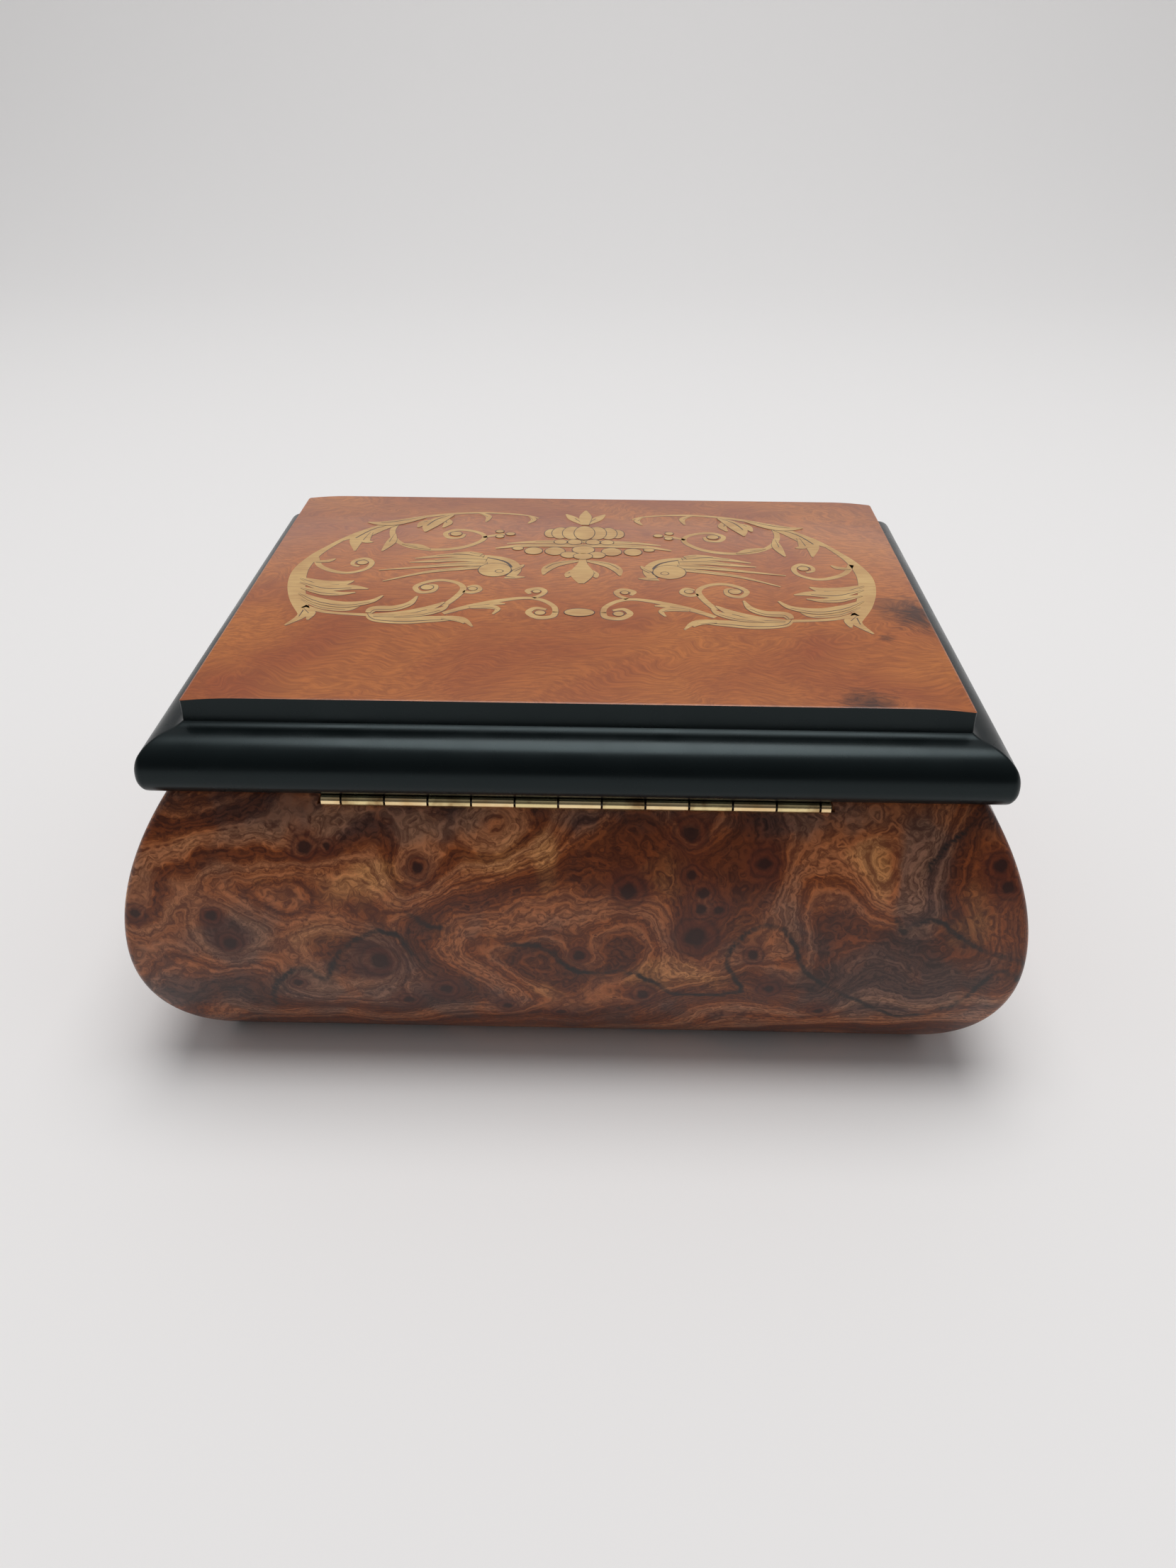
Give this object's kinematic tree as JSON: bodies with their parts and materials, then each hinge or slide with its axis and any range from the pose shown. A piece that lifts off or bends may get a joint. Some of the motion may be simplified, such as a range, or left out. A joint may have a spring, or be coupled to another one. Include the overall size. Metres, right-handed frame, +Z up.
{
  "type": "musical jewel box",
  "caption": "Swelling veneered box with a hinged, moulded lid, a lined compartment and a key-wound cylinder movement that plays a steel comb under a clear cover.",
  "frame": {"origin": "middle of the base, on the surface it stands on", "axes": "+Z up, +X along the hinge, the hinge at the back towards +Y and the front towards -Y"},
  "size_m": [0.129, 0.104, 0.0588],
  "materials": {
    "burl_veneer": "satin lacquered burl veneer",
    "black_lacquer": "black lacquered wood",
    "inlaid_veneer": "satin lacquered veneer with inlay",
    "plain_wood": "unfinished board",
    "velvet": "flocked velvet",
    "clear_acrylic": "clear polished sheet",
    "polished_brass": "polished brass",
    "nickel_plate": "nickel plated",
    "steel": "ground steel"
  },
  "bodies": {
    "case": {"front_wall": "burl_veneer", "left_wall": "burl_veneer", "right_wall": "burl_veneer", "back_wall": "burl_veneer", "bottom_panel": "plain_wood", "hinge_body_leaf": "polished_brass", "hinge_pin": "steel", "hinge_body_screws": "polished_brass", "partition": "velvet", "floor_pad": "velvet", "lining_left": "velvet", "lining_right": "velvet", "lining_front": "velvet", "lining_back": "velvet", "cover_rails": "plain_wood", "cover_pane": "clear_acrylic", "bedplate": "nickel_plate", "bedplate_screws": "steel", "barrel_bridge": "nickel_plate", "bridge_screws": "steel", "front_post": "nickel_plate", "rear_post": "nickel_plate", "comb_base": "nickel_plate", "comb": "steel", "comb_screws": "steel", "governor_bracket": "nickel_plate", "fly_bracket": "nickel_plate"},
    "lid": {"lid_board": "black_lacquer", "lid_veneer": "inlaid_veneer", "lid_lining": "velvet", "hinge_lid_leaf": "polished_brass", "hinge_lid_screws": "polished_brass"},
    "barrel": {"spring_barrel": "polished_brass", "barrel_cover": "polished_brass", "mainspring": "steel"},
    "winder": {"winding_arbor": "steel", "winding_key": "nickel_plate"},
    "cylinder": {"cylinder": "polished_brass", "cylinder_pins": "steel", "cylinder_pinion": "steel", "cylinder_gear": "polished_brass", "cylinder_arbor": "steel"},
    "governor": {"governor_arbor": "steel", "governor_pinion": "steel", "governor_wheel": "polished_brass"},
    "fly": {"fly_worm": "steel", "fly_fan": "polished_brass"},
    "stop": {"stop_rod": "steel"}
  },
  "joints": [
    {"name": "lid_hinge", "type": "hinge", "parent": "case", "child": "lid", "pos_m": [0, 0.0453, 0.0451], "axis": [-1, 0, 0], "range_deg": [0, 110]},
    {"name": "barrel_spin", "type": "hinge", "parent": "case", "child": "barrel", "pos_m": [0.0272, -0.01673, 0.021], "axis": [0, 0, 1], "continuous": true},
    {"name": "key_spin", "type": "hinge", "parent": "case", "child": "winder", "pos_m": [0.0272, -0.01673, 0.005], "axis": [0, 0, 1], "continuous": true},
    {"name": "cylinder_spin", "type": "hinge", "parent": "case", "child": "cylinder", "pos_m": [0.0272, 0, 0.0291], "axis": [0, 1, 0], "continuous": true},
    {"name": "governor_spin", "type": "hinge", "parent": "case", "child": "governor", "pos_m": [0.0368, 0.02, 0.0291], "axis": [0, 1, 0], "continuous": true},
    {"name": "fly_spin", "type": "hinge", "parent": "case", "child": "fly", "pos_m": [0.0436, 0.02142, 0.0291], "axis": [0, 0, 1], "continuous": true},
    {"name": "stop_slide", "type": "slide", "parent": "case", "child": "stop", "axis": [0, 0, 1], "range_m": [0, 0.0015]}
  ],
  "couplings": [
    {"joint": "cylinder_spin", "follows": "barrel_spin", "ratio": 3},
    {"joint": "governor_spin", "follows": "barrel_spin", "ratio": -9},
    {"joint": "fly_spin", "follows": "barrel_spin", "ratio": -108},
    {"joint": "stop_slide", "follows": "lid_hinge", "m_per_rad": 0.0007813}
  ]
}
